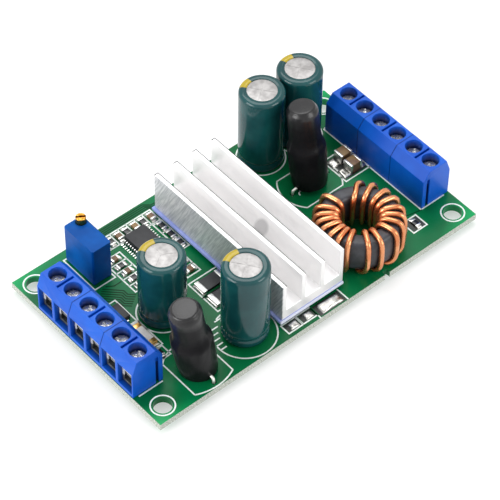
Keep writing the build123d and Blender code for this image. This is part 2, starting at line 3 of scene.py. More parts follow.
import bmesh
import bpy
import numpy as np
from mathutils import Matrix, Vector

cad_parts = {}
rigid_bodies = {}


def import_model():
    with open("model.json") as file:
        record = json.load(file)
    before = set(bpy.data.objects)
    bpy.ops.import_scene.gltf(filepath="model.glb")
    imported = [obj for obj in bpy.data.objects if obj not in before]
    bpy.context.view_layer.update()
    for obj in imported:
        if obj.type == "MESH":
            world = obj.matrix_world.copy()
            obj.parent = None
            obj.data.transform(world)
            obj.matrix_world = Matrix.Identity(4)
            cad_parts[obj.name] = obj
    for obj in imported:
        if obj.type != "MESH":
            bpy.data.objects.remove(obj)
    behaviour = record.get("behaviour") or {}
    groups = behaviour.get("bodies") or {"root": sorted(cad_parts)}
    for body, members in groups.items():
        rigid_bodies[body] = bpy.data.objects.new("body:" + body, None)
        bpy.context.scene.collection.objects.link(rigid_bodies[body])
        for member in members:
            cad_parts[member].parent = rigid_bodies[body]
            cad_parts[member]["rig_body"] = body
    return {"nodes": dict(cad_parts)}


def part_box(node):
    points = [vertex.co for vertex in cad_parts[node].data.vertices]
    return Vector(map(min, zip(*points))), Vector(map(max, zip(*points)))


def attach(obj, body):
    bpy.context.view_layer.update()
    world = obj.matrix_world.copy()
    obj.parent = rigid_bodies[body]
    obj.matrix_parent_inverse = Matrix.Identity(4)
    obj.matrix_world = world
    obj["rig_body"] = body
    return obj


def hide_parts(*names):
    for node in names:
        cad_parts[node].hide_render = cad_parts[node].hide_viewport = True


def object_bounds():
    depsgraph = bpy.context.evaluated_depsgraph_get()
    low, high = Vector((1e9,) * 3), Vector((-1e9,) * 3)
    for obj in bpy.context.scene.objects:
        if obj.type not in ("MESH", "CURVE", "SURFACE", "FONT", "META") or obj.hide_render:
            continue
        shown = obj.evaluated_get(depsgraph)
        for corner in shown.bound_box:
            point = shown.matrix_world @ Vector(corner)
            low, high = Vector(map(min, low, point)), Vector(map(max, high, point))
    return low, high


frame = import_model()
cad_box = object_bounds()

# Circuit board. One panel of woven glass laminate, with green solder mask printed over the copper on
# both faces. It is cut out of a bigger panel, so its edge shows bare, rough glass cloth.
mm = 0.001


def linear(code):
    """The linear colour of an sRGB hex value."""
    share = np.array([int(code[i:i + 2], 16) for i in (1, 3, 5)]) / 255
    bright = np.where(share <= 0.04045, share / 12.92, ((share + 0.055) / 1.055) ** 2.4)
    return (*bright.tolist(), 1.0)


def add(tree, kind, sockets=None, stops=None, **settings):
    """Adds a node. A socket takes a value, or a (node, output) pair to link. Stops fill its ramp."""
    made = tree.nodes.new(kind)
    for name, value in settings.items():
        setattr(made, name, value)
    for name, value in (sockets or {}).items():
        if isinstance(value, tuple) and isinstance(value[0], bpy.types.Node):
            tree.links.new(value[0].outputs[value[1]], made.inputs[name])
        else:
            made.inputs[name].default_value = value
    for i, (position, code) in enumerate(stops or []):
        points = made.color_ramp.elements
        point = points[i] if i < 2 else points.new(position)
        point.position, point.color = position, linear(code)
    return made


def finish(name, dark, light, patch, grain, depth, **shader_sockets):
    """A finish mottled from dark to light in patches, with a bump of a grain width and depth, in mm."""
    made = bpy.data.materials.new(name)
    made.use_nodes = True
    tree = made.node_tree
    shader = tree.nodes["Principled BSDF"]
    metres = add(tree, "ShaderNodeTexCoord")
    place = add(tree, "ShaderNodeVectorMath", {0: (metres, "Object"), "Scale": 1 / mm}, operation="SCALE")
    patches = add(tree, "ShaderNodeTexNoise", {"Vector": (place, 0), "Scale": 1 / patch, "Detail": 3.0})
    ramp = add(tree, "ShaderNodeValToRGB", {0: (patches, 0)}, stops=[(0.36, dark), (0.64, light)])
    grains = add(tree, "ShaderNodeTexNoise", {"Vector": (place, 0), "Scale": 1 / grain, "Detail": 2.0})
    bump = add(tree, "ShaderNodeBump", {"Height": (grains, 0), "Distance": depth * mm})
    tree.links.new(ramp.outputs[0], shader.inputs["Base Color"])
    tree.links.new(bump.outputs[0], shader.inputs["Normal"])
    for socket, value in shader_sockets.items():
        shader.inputs[socket.replace("_", " ")].default_value = value
    return made, tree, shader, place, ramp, bump


board_high = np.array(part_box("circuit_board")[1]) / mm
deck = board_high[2]


def laminate_with_mask():
    """Glossy green mask on the two faces, and dull straw-grey glass cloth on what the cutter left."""
    made, tree, shader, place, ramp, bump = finish(
        "solder mask on glass laminate", "#005c31", "#037746", 16.0, 0.6, 0.004, Specular_IOR_Level=0.16)
    away = add(tree, "ShaderNodeVectorMath", {0: (place, 0)}, operation="ABSOLUTE")
    axes = add(tree, "ShaderNodeSeparateXYZ", {0: (away, 0)})
    past_end = add(tree, "ShaderNodeMath", {0: (axes, 0), 1: board_high[0] - 0.03}, operation="GREATER_THAN")
    past_side = add(tree, "ShaderNodeMath", {0: (axes, 1), 1: board_high[1] - 0.03}, operation="GREATER_THAN")
    edge = add(tree, "ShaderNodeMath", {0: (past_end, 0), 1: (past_side, 0)}, operation="MAXIMUM")
    # Eight layers of cloth in the thickness, broken up by the cutter into pale ends and grey gaps.
    stretched = add(tree, "ShaderNodeVectorMath", {0: (place, 0), 1: (3.0, 3.0, 7.0)}, operation="MULTIPLY")
    cloth = add(tree, "ShaderNodeTexNoise", {"Vector": (stretched, 0), "Scale": 1.0, "Detail": 3.0})
    cut = add(tree, "ShaderNodeValToRGB", {0: (cloth, 0)}, stops=[(0.35, "#848b80"), (0.65, "#dcdfd6")])
    # No copper lies under the corners. The brighter green painted there is a painted glow, standing in for light
    # that shines up through the bare laminate.
    spread = add(tree, "ShaderNodeVectorMath", {0: (away, 0), 1: (1 / board_high[0], 1 / board_high[1], 0.0)},
                 operation="DOT_PRODUCT")
    corner = add(tree, "ShaderNodeMapRange", {0: (spread, "Value"), 1: 1.74, 2: 1.98, 3: 0.0, 4: 0.85})
    green = add(tree, "ShaderNodeMix", {0: (corner, 0), 6: (ramp, 0), 7: linear("#12a35c")}, data_type="RGBA")
    colour = add(tree, "ShaderNodeMix", {0: (edge, 0), 6: (green, 2), 7: (cut, 0)}, data_type="RGBA")
    rough = add(tree, "ShaderNodeMath", {0: (edge, 0), 1: 0.55, 2: 0.28}, operation="MULTIPLY_ADD")
    ragged = add(tree, "ShaderNodeBump", {"Height": (cloth, 0), "Strength": (edge, 0), "Distance": 0.15 * mm,
                                         "Normal": (bump, 0)})
    tree.links.new(colour.outputs[2], shader.inputs["Base Color"])
    tree.links.new(rough.outputs[0], shader.inputs["Roughness"])
    tree.links.new(ragged.outputs[0], shader.inputs["Normal"])
    return made


def dress(node, material):
    """Gives a CAD node its finish."""
    slots = frame["nodes"][node].data.materials
    slots.clear()
    slots.append(material)


dress("circuit_board", laminate_with_mask())


def grid_faces(rows, columns, ring, first):
    """Faces of a grid that is closed round its columns; an open one gets a flat face at each end."""
    row = np.arange(rows if ring else rows - 1)[:, None]
    column = np.arange(columns)[None, :]
    after = (column + 1) % columns
    above = (row + 1) % rows
    corners = [row * columns + column, row * columns + after, above * columns + after, above * columns + column]
    faces = (first + np.stack(np.broadcast_arrays(*corners), -1).reshape(-1, 4)).tolist()
    if not ring:
        faces.append((first + np.arange(columns)[::-1]).tolist())
        faces.append((first + np.arange((rows - 1) * columns, rows * columns)).tolist())
    return faces


def piece(name, grids, material, body="board", replaces=(), crease=40.0, ring=False):
    """One object of closed surfaces, each a grid of points in mm: rows along it, columns round it."""
    points, faces = [], []
    for grid in grids:
        faces += grid_faces(*grid.shape[:2], ring, first=sum(len(part) for part in points))
        points.append(grid.reshape(-1, 3))
    mesh = bpy.data.meshes.new(name)
    mesh.from_pydata((np.concatenate(points) * mm).tolist(), [], faces)
    mesh.shade_smooth()
    mesh.set_sharp_from_angle(angle=np.radians(crease))
    mesh.materials.append(material)
    made = bpy.data.objects.new(name, mesh)
    bpy.context.scene.collection.objects.link(made)
    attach(made, body)
    if replaces:
        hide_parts(*replaces)
    return made


# Printed lines and gaps between tracks. White ink is screened on the mask as outlines of the parts, a
# few hundredths of a millimetre thick. Copper covers most of the face, and the etched gaps show darker.
ink_height = 0.03
gap_width, gap_height = 0.28, 0.012


def ribbon(points, width, height, closed=False):
    """A flat strip on the board: the path moved half a width to both sides along its normals."""
    path = np.array(points, float)
    if closed:
        before, after = np.roll(path, 1, 0), np.roll(path, -1, 0)
    else:
        before, after = np.vstack([path[:1], path[:-1]]), np.vstack([path[1:], path[-1:]])
    into, out = path - before, after - path
    into = into / np.maximum(np.linalg.norm(into, axis=1, keepdims=True), 1e-9)
    out = out / np.maximum(np.linalg.norm(out, axis=1, keepdims=True), 1e-9)
    along = into + out
    along /= np.linalg.norm(along, axis=1, keepdims=True)
    half_angle = np.maximum(np.abs((along * np.where(out.any(1, keepdims=True), out, into)).sum(1)), 0.4)
    side = np.stack([along[:, 1], -along[:, 0]], 1) * (width / 2 / half_angle)[:, None]
    right, left = path + side, path - side
    low, high = np.full((len(path), 1), deck + 0.001), np.full((len(path), 1), deck + height)
    corners = [(left, low), (right, low), (right, high), (left, high)]
    return np.stack([np.hstack(corner) for corner in corners], 1)


def arc(x, y, radius, start=0.0, stop=360.0, steps=48):
    """Points on a circle about x and y, from one angle to another."""
    turn = np.radians(np.linspace(start, stop, steps, endpoint=stop - start < 360))
    return np.stack([x + radius * np.cos(turn), y + radius * np.sin(turn)], 1)


def frame_line(x0, y0, x1, y1):
    """The four corners of an outline."""
    return [(x0, y0), (x1, y0), (x1, y1), (x0, y1)]


ink_width = 0.32
hole_rings = [arc(x, y, 2.5) for x in (-39.5, 39.5) for y in (-20.5, 20.5)]
closed_lines = [
    arc(-24.3, -2.05, 5.45),
    arc(19.15, 17.7, 5.35),
    arc(29.5, 17.5, 5.35),
    frame_line(-15.7, -4.55, -7.9, 0.2),
    frame_line(-15.7, -9.2, -7.9, -4.55),
    frame_line(-31.2, 11.4, -25.85, 21.8),
    frame_line(28.35, 0.55, 35.3, 8.1),
    frame_line(29.3, -19.45, 33.1, -15.9),
    frame_line(-33.4, -0.4, -29.8, 6.6),
    frame_line(-33.0, -8.4, -29.6, -0.7),
    frame_line(-33.2, -11.5, -30.0, -8.7),
    frame_line(-24.6, 17.8, -8.7, 21.3),
    frame_line(-25.2, 5.6, -20.9, 16.2),
    frame_line(-14.6, 4.2, -11.2, 6.6),
    frame_line(-14.6, 1.7, -11.2, 4.1),
    frame_line(-10.9, 8.4, -8.6, 17.4),
    frame_line(-8.5, -22.95, -4.75, -20.4),
    frame_line(-4.6, -22.95, -0.85, -20.4),
]
open_lines = [
    [(-41.7, -15.75), (-35.6, -15.75)],
    [(-41.7, 15.35), (-35.6, 15.35)],
    [(35.2, -15.6), (41.6, -15.6)],
    [(35.2, 15.2), (41.6, 15.2)],
    [(35.0, -15.6), (35.0, 15.2)],
    [(-0.85, -20.5), (-0.85, -24.0)],
    [(6.75, -20.4), (6.75, -23.9)],
    [(-23.15, -12.4), (-23.15, -22.6)],
    [(-33.0, -12.7), (-33.0, -22.6)],
    arc(-28.08, -12.61, 11.14, -116.3, -63.7, 20),
    arc(-28.1, -17.65, 7.1, 46.5, 133.5, 20),
    [(17.1, 10.1), (27.1, 10.1)],
    [(17.1, 0.3), (27.1, 0.3)],
    arc(22.1, 5.2, 7.0, -44.5, 44.5, 20),
    arc(22.1, 5.2, 7.0, 135.5, 224.5, 20),
    arc(-15.1, -16.9, 6.7, -186.0, 110.0, 60),
]
# Short lines part the small chips of the back row and the side column.
open_lines += [[(x, 17.8), (x, 21.3)] for x in np.arange(-21.7, -9.5, 2.15)]
open_lines += [[(-25.2, y), (-20.9, y)] for y in np.arange(7.65, 15.0, 2.1)]
open_lines += [[(-10.9, y), (-8.6, y)] for y in (11.5, 14.5)]
# Half of the round outline of the near capacitor is hatched, on the side of its negative lead.
hatch_x, hatch_y, hatch_radius, hatch_length, hatch_pitch = -15.1, -16.9, 6.7, 1.6, 1.27
for i in range(6):
    up = -10.9 - hatch_pitch * i
    left = hatch_x - np.sqrt(max(hatch_radius ** 2 - (up - hatch_y) ** 2, 0.0))
    open_lines.append([(left, up), (left + hatch_length, up)])
# The mark of a coil on the board: four bumps beside the far choke.
open_lines.append(np.vstack([arc(19.2 + 1.9 * i, 3.9, 0.95, 180.0, 0.0, 9) for i in range(4)]))

white_ink, *_ = finish("screened white ink", "#dfe8e2", "#f4f8f5", 1.2, 0.15, 0.006, Roughness=0.5)
rings = [ribbon(points, ink_width, ink_height, closed=True) for points in hole_rings + closed_lines]
strips = [ribbon(points, ink_width, ink_height) for points in open_lines]
piece("printed_outlines", rings, white_ink, ring=True)
piece("printed_lines", strips, white_ink)

mask_in_gaps, *_ = finish("solder mask over bare laminate", "#00301a", "#023a20", 6.0, 0.5, 0.004,
                          Roughness=0.4, Specular_IOR_Level=0.1)
gaps = []
# Six gaps part five tracks that leave the trimmer's corner, slant to the left capacitor and jog once.
gaps.append([(-29.0, 10.7), (-27.5, 9.7), (-25.6, 9.7)])
for i in range(6):
    x, y = -26.8 - 0.52 * i, 7.5 - 0.36 * i
    gaps.append([(x - 3.1, y + 3.1), (x, y), (x, y - 1.3), (x + 1.3, y - 2.5)])
# Four more run beside the far edge and turn in under the heatsink.
for i in range(4):
    y = 23.4 - 0.5 * i
    gaps.append([(-27.5 + i, y), (-9.0, y), (-7.6, y - 1.2), (-5.4, y - 1.2)])
gaps.append([(28.7, -14.4), (31.3, -14.9), (35.0, -15.7)])
piece("track_gaps", [ribbon(points, gap_width, gap_height) for points in gaps], mask_in_gaps)


# Terminal blocks. Each two-pole housing is moulded in blue polyamide and hooked to its neighbour by a
# dovetail, and its sharp tool edges are rounded by about a tenth of a millimetre.
def softened(node, name, edge, material, segments=2):
    """A copy of a CAD node whose edges are rounded to a radius in mm by a Bevel modifier."""
    solid = bmesh.new()
    solid.from_mesh(frame["nodes"][node].data)
    bmesh.ops.remove_doubles(solid, verts=solid.verts, dist=1e-6)
    bmesh.ops.dissolve_limit(solid, angle_limit=np.radians(1.0), verts=solid.verts, edges=solid.edges)
    mesh = bpy.data.meshes.new(name)
    solid.to_mesh(mesh)
    solid.free()
    mesh.materials.clear()
    mesh.materials.append(material)
    mesh.shade_smooth()
    mesh.set_sharp_from_angle(angle=np.radians(40.0))
    made = bpy.data.objects.new(name, mesh)
    bpy.context.scene.collection.objects.link(made)
    rounding = made.modifiers.new("edge radius", "BEVEL")
    rounding.width = edge * mm
    rounding.segments = segments
    rounding.use_clamp_overlap = False
    rounding.limit_method = "ANGLE"
    rounding.angle_limit = np.radians(30.0)
    rounding.harden_normals = True
    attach(made, frame["nodes"][node]["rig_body"])
    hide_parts(node)
    return made


polyamide, tree, shader, place, ramp, _ = finish(
    "blue moulded polyamide", "#004eba", "#055ac8", 7.0, 0.12, 0.003, Roughness=0.38, Specular_IOR_Level=0.28)
# Painted shade lies in the joints between blocks, two pole pitches apart about the row's middle.
pole_pitch, row_middle, joint_half_width = 5.08, -0.2, 0.1
axes = add(tree, "ShaderNodeSeparateXYZ", {0: (place, 0)})
from_middle = add(tree, "ShaderNodeMath", {0: (axes, 1), 1: -row_middle}, operation="ADD")
mirrored = add(tree, "ShaderNodeMath", {0: (from_middle, 0)}, operation="ABSOLUTE")
painted_joint_shade = add(tree, "ShaderNodeMath", {0: (mirrored, 0), 1: pole_pitch, 2: joint_half_width},
            operation="COMPARE")
painted_joint_shade = add(tree, "ShaderNodeMath", {0: (painted_joint_shade, 0), 1: 0.6}, operation="MULTIPLY")
# The deep walls of the screw wells and wire entries are painted dark, as painted shade. Each is known by its
# place: how far it lies from the middle of its pole, from the row of screws, and below the top.
screw_row, well_radius, well_lit, well_dark = 39.4, 2.06, 11.6, 9.8
entry_half_width, entry_top, entry_mouth, entry_dark, row_start = 2.2, 7.6, 42.8, 41.6, 36.0
pole_step = add(tree, "ShaderNodeMath", {0: (from_middle, 0), 1: pole_pitch}, operation="FLOORED_MODULO")
from_pole = add(tree, "ShaderNodeMath", {0: (pole_step, 0), 1: pole_pitch / 2}, operation="SUBTRACT")
outward = add(tree, "ShaderNodeMath", {0: (axes, 0)}, operation="ABSOLUTE")
from_screws = add(tree, "ShaderNodeMath", {0: (outward, 0), 1: screw_row}, operation="SUBTRACT")
flat = add(tree, "ShaderNodeCombineXYZ", {0: (from_pole, 0), 1: (from_screws, 0)})
from_axis = add(tree, "ShaderNodeVectorMath", {0: (flat, 0)}, operation="LENGTH")
in_well = add(tree, "ShaderNodeMath", {0: (from_axis, "Value"), 1: well_radius}, operation="LESS_THAN")
depth = add(tree, "ShaderNodeMapRange", {0: (axes, 2), 1: well_lit, 2: well_dark, 3: 0.0, 4: 0.85})
painted_well_shade = add(tree, "ShaderNodeMath", {0: (in_well, 0), 1: (depth, 0)}, operation="MULTIPLY")
beside = add(tree, "ShaderNodeMath", {0: (from_pole, 0), 1: 0.0, 2: entry_half_width},
             operation="COMPARE")
inside = add(tree, "ShaderNodeMapRange", {0: (outward, 0), 1: entry_mouth, 2: entry_dark, 3: 0.0, 4: 0.8})
low_down = add(tree, "ShaderNodeMath", {0: (axes, 2), 1: entry_top}, operation="LESS_THAN")
in_row = add(tree, "ShaderNodeMath", {0: (outward, 0), 1: row_start}, operation="GREATER_THAN")
painted_entry_shade = beside
for part in (inside, low_down, in_row):
    painted_entry_shade = add(tree, "ShaderNodeMath", {0: (painted_entry_shade, 0), 1: (part, 0)}, operation="MULTIPLY")
dark = painted_entry_shade
for part in (painted_well_shade, painted_joint_shade):
    dark = add(tree, "ShaderNodeMath", {0: (dark, 0), 1: (part, 0)}, operation="MAXIMUM")
# The painted shade of the joints, wells and entries darkens the blue towards navy.
shaded = add(tree, "ShaderNodeMix", {0: (dark, 0), 6: (ramp, 0), 7: linear("#021440")}, data_type="RGBA")
tree.links.new(shaded.outputs[2], shader.inputs["Base Color"])
ends = [("left", -1), ("right", 1)]
for end, side in ends:
    for block in (1, 2, 3):
        node = f"terminal_housing_{end}_{block}"
        softened(node, f"{node}_moulding", 0.12, polyamide)


def lathe(profile, x, y, columns=48):
    """A profile of (radius, height) rows turned about an upright axis; a radius may vary by column."""
    turn = np.linspace(0.0, 2 * np.pi, columns, endpoint=False)
    radius = np.stack([np.broadcast_to(r, columns) for r, z in profile])
    height = np.stack([np.broadcast_to(z, columns) for r, z in profile])
    return np.stack([x + radius * np.cos(turn), y + radius * np.sin(turn), height], -1)


def star(columns, arms, half_width, length, turned=0.0):
    """Radius of a star outline at each column: an arm's side, cut off at the arm's length."""
    turn = np.linspace(0.0, 2 * np.pi, columns, endpoint=False) - turned
    from_arm = np.abs((turn + np.pi / arms) % (2 * np.pi / arms) - np.pi / arms)
    return np.minimum(length, half_width / np.maximum(np.sin(from_arm), half_width / length))


# Clamp screws. Turned steel, zinc plated, with a shallow domed head, a cross-and-slot drive and a plain
# stretch that bears on the contact bar. The plating is bright and slightly streaked by the turning.
zinc, *_ = finish(
    "bright zinc on turned steel", "#dddedf", "#fbfbfa", 0.5, 0.2, 0.02, Metallic=0.85, Roughness=0.24)
head_round = 0.25
drive_depth = 0.75
drive_half_width = 0.28
thread_pitch = 0.45
for end, side in ends:
    for pole in range(1, 7):
        node = f"clamp_screw_{end}_{pole}"
        low, high = (np.array(corner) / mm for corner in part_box(node))
        x, y = (low[:2] + high[:2]) / 2
        radius = (high[1] - low[1]) / 2
        top, under = high[2], high[2] - 1.0
        turned = 0.5 + 1.1 * pole + side
        slot_outline = star(96, 2, drive_half_width, radius * 0.86, turned)
        cross_outline = star(96, 4, drive_half_width, radius * 0.62, turned)
        drive = np.maximum(slot_outline, cross_outline)
        thread = [(1.22 - 0.13 * (i % 2), low[2] + 0.1 + thread_pitch / 2 * i) for i in range(15)]
        profile = [(0.0, low[2]), (1.05, low[2])] + [row for row in thread if row[1] < under - 0.1] + [
            (1.2, under), (radius - 0.1, under), (radius, under + 0.1), (radius, top - head_round),
            (radius - 0.07, top - 0.09), (radius - head_round, top), (drive + 0.04, top),
            (drive, top - 0.05), (drive * 0.97, top - drive_depth), (drive * 0.5, top - drive_depth - 0.05),
            (0.0, top - drive_depth - 0.08)]
        piece(f"{node}_turned", [lathe(profile, x, y, 96)], zinc, body=node, replaces=(node,))

# Clamp cages and contact bars. The cages are bent from thick plated strip, painted bright on its upper part as a
# painted highlight and darker lower down in the wire entries as painted shade. The bars are dull tinned copper.
cage_strip, tree, shader, place, *_ = finish(
    "dulled plate on strip", "#4d5052", "#6b6e70", 1.5, 0.3, 0.004, Metallic=0.8, Roughness=0.42)
bright_from, bright_full = 4.3, 4.7
axes = add(tree, "ShaderNodeSeparateXYZ", {0: (place, 0)})
# Above this height the strip is mixed to near white, a painted highlight; below it, its plain colour stands as
# painted shade.
painted_highlight_near_top = add(tree, "ShaderNodeMapRange", {0: (axes, 2), 1: bright_from, 2: bright_full, 3: 0.0, 4: 1.0})
dull = shader.inputs["Base Color"].links[0].from_node
upper = add(tree, "ShaderNodeMix", {0: (painted_highlight_near_top, 0), 6: (dull, 0), 7: linear("#f3f1ea")}, data_type="RGBA")
tree.links.new(upper.outputs[2], shader.inputs["Base Color"])
tinned_copper, *_ = finish("dull tin on copper bar", "#6f7172", "#8f9090", 1.5, 0.3, 0.004,
                           Metallic=0.9, Roughness=0.4)
for end, side in ends:
    dress(f"terminal_contacts_{end}", tinned_copper)
    for pole in range(1, 7):
        node = f"clamp_cage_{end}_{pole}"
        softened(node, f"{node}_strip", 0.1, cage_strip, segments=1)

# Power transistors and pad. Flat moulded packages are soldered to the board, and a soft filled rubber
# pad, lavender in colour, is squeezed between them and the heatsink.
moulding, *_ = finish("black moulding compound", "#1c1d20", "#2a2b2e", 2.0, 0.12, 0.01, Roughness=0.55)
dress("power_transistors", moulding)
filled_rubber, tree, shader, place, ramp, _ = finish(
    "lavender filled rubber", "#8d9cdc", "#a4b2ee", 2.5, 0.25, 0.02, Roughness=0.62)
# Its cut end towards the lens is painted paler, a painted highlight where the front light falls.
pale_from, pale_to = -20.6, -20.35
axes = add(tree, "ShaderNodeSeparateXYZ", {0: (place, 0)})
painted_light_on_cut_end = add(tree, "ShaderNodeMapRange", {0: (axes, 1), 1: pale_from, 2: pale_to, 3: 0.8, 4: 0.0})
paler = add(tree, "ShaderNodeMix", {0: (painted_light_on_cut_end, 0), 6: (ramp, 0), 7: linear("#eceffa")}, data_type="RGBA")
tree.links.new(paler.outputs[2], shader.inputs["Base Color"])
softened("thermal_pad", "thermal_pad_sheet", 0.15, filled_rubber)


# Heatsink. A length of plain extruded aluminium, sawn off and lightly etched, with die lines along its
# fins, and saw chatter on the outer face that was cleaned up.
sink_low, sink_high = (np.array(corner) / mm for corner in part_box("heatsink"))
fin_thickness, outer_side = 1.1, -8.0
stain_middle, stain_dark, stain_clear = (2.1, 2.23, -0.84), 0.75, 1.1
fin_pitch = (sink_high[0] - sink_low[0] - fin_thickness) / 3


def extruded_aluminium():
    """Pale metal with die lines, chatter on the outer side greyed by a painted reflection, one smudge, and
    painted shade on the fins' top edges.
    """
    made, tree, shader, place, ramp, bump = finish(
        "etched extruded aluminium", "#efeeee", "#f6f5f5", 9.0, 0.2, 0.002, Metallic=0.58, Roughness=0.45)
    # Die lines lie a quarter of a millimetre apart and run the whole length.
    drawn = add(tree, "ShaderNodeVectorMath", {0: (place, 0), 1: (4.0, 0.04, 4.0)}, operation="MULTIPLY")
    lines = add(tree, "ShaderNodeTexNoise", {"Vector": (drawn, 0), "Scale": 1.0, "Detail": 2.0})
    drawn_bump = add(tree, "ShaderNodeBump", {"Height": (lines, 0), "Distance": 0.012 * mm, "Normal": (bump, 0)})
    # Chatter marks slant over the outer face.
    axes = add(tree, "ShaderNodeSeparateXYZ", {0: (place, 0)})
    outer = add(tree, "ShaderNodeMath", {0: (axes, 0), 1: outer_side}, operation="LESS_THAN")
    slant = add(tree, "ShaderNodeMapping", {"Vector": (place, 0), "Rotation": (0.46, 0.0, 0.0),
                                            "Scale": (1.0, 0.3, 4.0)}, vector_type="TEXTURE")
    chatter = add(tree, "ShaderNodeTexNoise", {"Vector": (slant, 0), "Scale": 1.0, "Detail": 3.0})
    marks = add(tree, "ShaderNodeBump", {"Height": (chatter, 0), "Strength": (outer, 0), "Distance": 0.05 * mm,
                                        "Normal": (drawn_bump, 0)})
    tree.links.new(marks.outputs[0], shader.inputs["Normal"])
    # The outer face is greyed in the chatter's patches, a painted reflection of the dark parts that this face
    # looks towards.
    painted_outer_grey = add(tree, "ShaderNodeMapRange", {0: (chatter, 0), 1: 0.35, 2: 0.65, 3: 0.15, 4: 0.65})
    outer_painted_reflection = add(tree, "ShaderNodeMath", {0: (painted_outer_grey, 0), 1: (outer, 0)}, operation="MULTIPLY")
    greyed = add(tree, "ShaderNodeMix", {0: (outer_painted_reflection, 0), 6: (ramp, 0), 7: linear("#979ba0")},
                 data_type="RGBA")
    # A grey smudge, four and a half millimetres across, slants down the left face of the third fin.
    slope = add(tree, "ShaderNodeVectorMath", {0: (place, 0), 1: (0.0, 0.3, 0.345)}, operation="DOT_PRODUCT")
    along = add(tree, "ShaderNodeMath", {0: (axes, 1), 1: 0.42}, operation="MULTIPLY")
    smudge = add(tree, "ShaderNodeCombineXYZ", {0: (axes, 0), 1: (slope, "Value"), 2: (along, 0)})
    from_stain = add(tree, "ShaderNodeVectorMath", {0: (smudge, 0), 1: stain_middle},
                     operation="DISTANCE")
    stain = add(tree, "ShaderNodeMapRange", {0: (from_stain, "Value"), 1: stain_dark, 2: stain_clear,
                                             3: 0.4, 4: 0.0})
    stained = add(tree, "ShaderNodeMix", {0: (stain, 0), 6: (greyed, 2), 7: linear("#77777a")}, data_type="RGBA")
    # The fins' top edges towards the right and the far end are painted dark, a painted shade on their rounded
    # edges.
    from_left = add(tree, "ShaderNodeMath", {0: (axes, 0), 1: -sink_low[0]}, operation="ADD")
    from_fin = add(tree, "ShaderNodeMath", {0: (from_left, 0), 1: fin_pitch}, operation="FLOORED_MODULO")
    right_edge = add(tree, "ShaderNodeMath", {0: (from_fin, 0), 1: fin_thickness - 0.12, 2: 0.14},
                     operation="COMPARE")
    far_edge = add(tree, "ShaderNodeMath", {0: (axes, 1), 1: sink_high[1] - 0.3}, operation="GREATER_THAN")
    painted_edge_shade = add(tree, "ShaderNodeMath", {0: (right_edge, 0), 1: (far_edge, 0)}, operation="MAXIMUM")
    on_top = add(tree, "ShaderNodeMath", {0: (axes, 2), 1: sink_high[2] - 0.1}, operation="GREATER_THAN")
    painted_dark = add(tree, "ShaderNodeMath", {0: (painted_edge_shade, 0), 1: (on_top, 0)}, operation="MULTIPLY")
    colour = add(tree, "ShaderNodeMix", {0: (painted_dark, 0), 6: (stained, 2), 7: linear("#4a4b4e")},
                 data_type="RGBA")
    tree.links.new(colour.outputs[2], shader.inputs["Base Color"])
    return made


softened("heatsink", "heatsink_extrusion", 0.15, extruded_aluminium())

# Toroid core. Pressed magnetic powder with a thin dark coating, its edges rounded by the press.
core_low, core_high = (np.array(corner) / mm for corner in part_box("toroid_core"))
toroid_x, toroid_y = (core_low[:2] + core_high[:2]) / 2
core_outer = (core_high[0] - core_low[0]) / 2
core_inner = 4.7
core_middle = (core_outer + core_inner) / 2
core_level = (core_low[2] + core_high[2]) / 2
core_half_width = (core_outer - core_inner) / 2 - 0.1
core_half_height = (core_high[2] - core_low[2]) / 2 - 0.1


def rounded(angle, half_width, half_height, power):
    """A rounded rectangle: the cosine and sine of an angle, each raised to a power, signs kept."""
    across = np.sign(np.cos(angle)) * np.abs(np.cos(angle)) ** power * half_width
    up = np.sign(np.sin(angle)) * np.abs(np.sin(angle)) ** power * half_height
    return across, up


section = np.linspace(0.0, 2 * np.pi, 48, endpoint=False)
across, up = rounded(section, core_half_width, core_half_height, 0.5)
around = np.linspace(0.0, 2 * np.pi, 96, endpoint=False)[:, None]
core_radius = core_middle - across[None, :]
core_grid = np.stack([
    toroid_x + core_radius * np.cos(around),
    toroid_y + core_radius * np.sin(around),
    np.broadcast_to(core_level + up, (96, 48)),
], -1)
core_coat, *_ = finish("dark coated powder core", "#25262b", "#393b43", 2.0, 0.3, 0.02, Roughness=0.42)
piece("toroid_core_pressing", [core_grid], core_coat, replaces=("toroid_core",), ring=True)

# Toroid winding. One enamelled copper wire, pulled tight over the core by hand, so each turn bows a
# little over the flat faces and the turns crowd together in the hole.
wire_radius = 0.6
left_turns = [104.0, 127.0, 142.0, 154.0, 168.0, 183.0, 197.0, 212.0]
right_turns = [239.0, 257.0, 283.0, 301.0, 316.0, 331.0, 350.0, 367.0, 386.0, 402.0]
turn_angles = np.radians(left_turns + right_turns)
last_angle = turn_angles[-1] + np.radians(18.0)
last_slant = np.radians(25.0)
wire_outer = core_outer + 0.5
wire_inner = core_inner - 0.5
wire_middle = (wire_outer + wire_inner) / 2
wire_half_width = (wire_outer - wire_inner) / 2
wire_half_height = core_half_height + 0.6


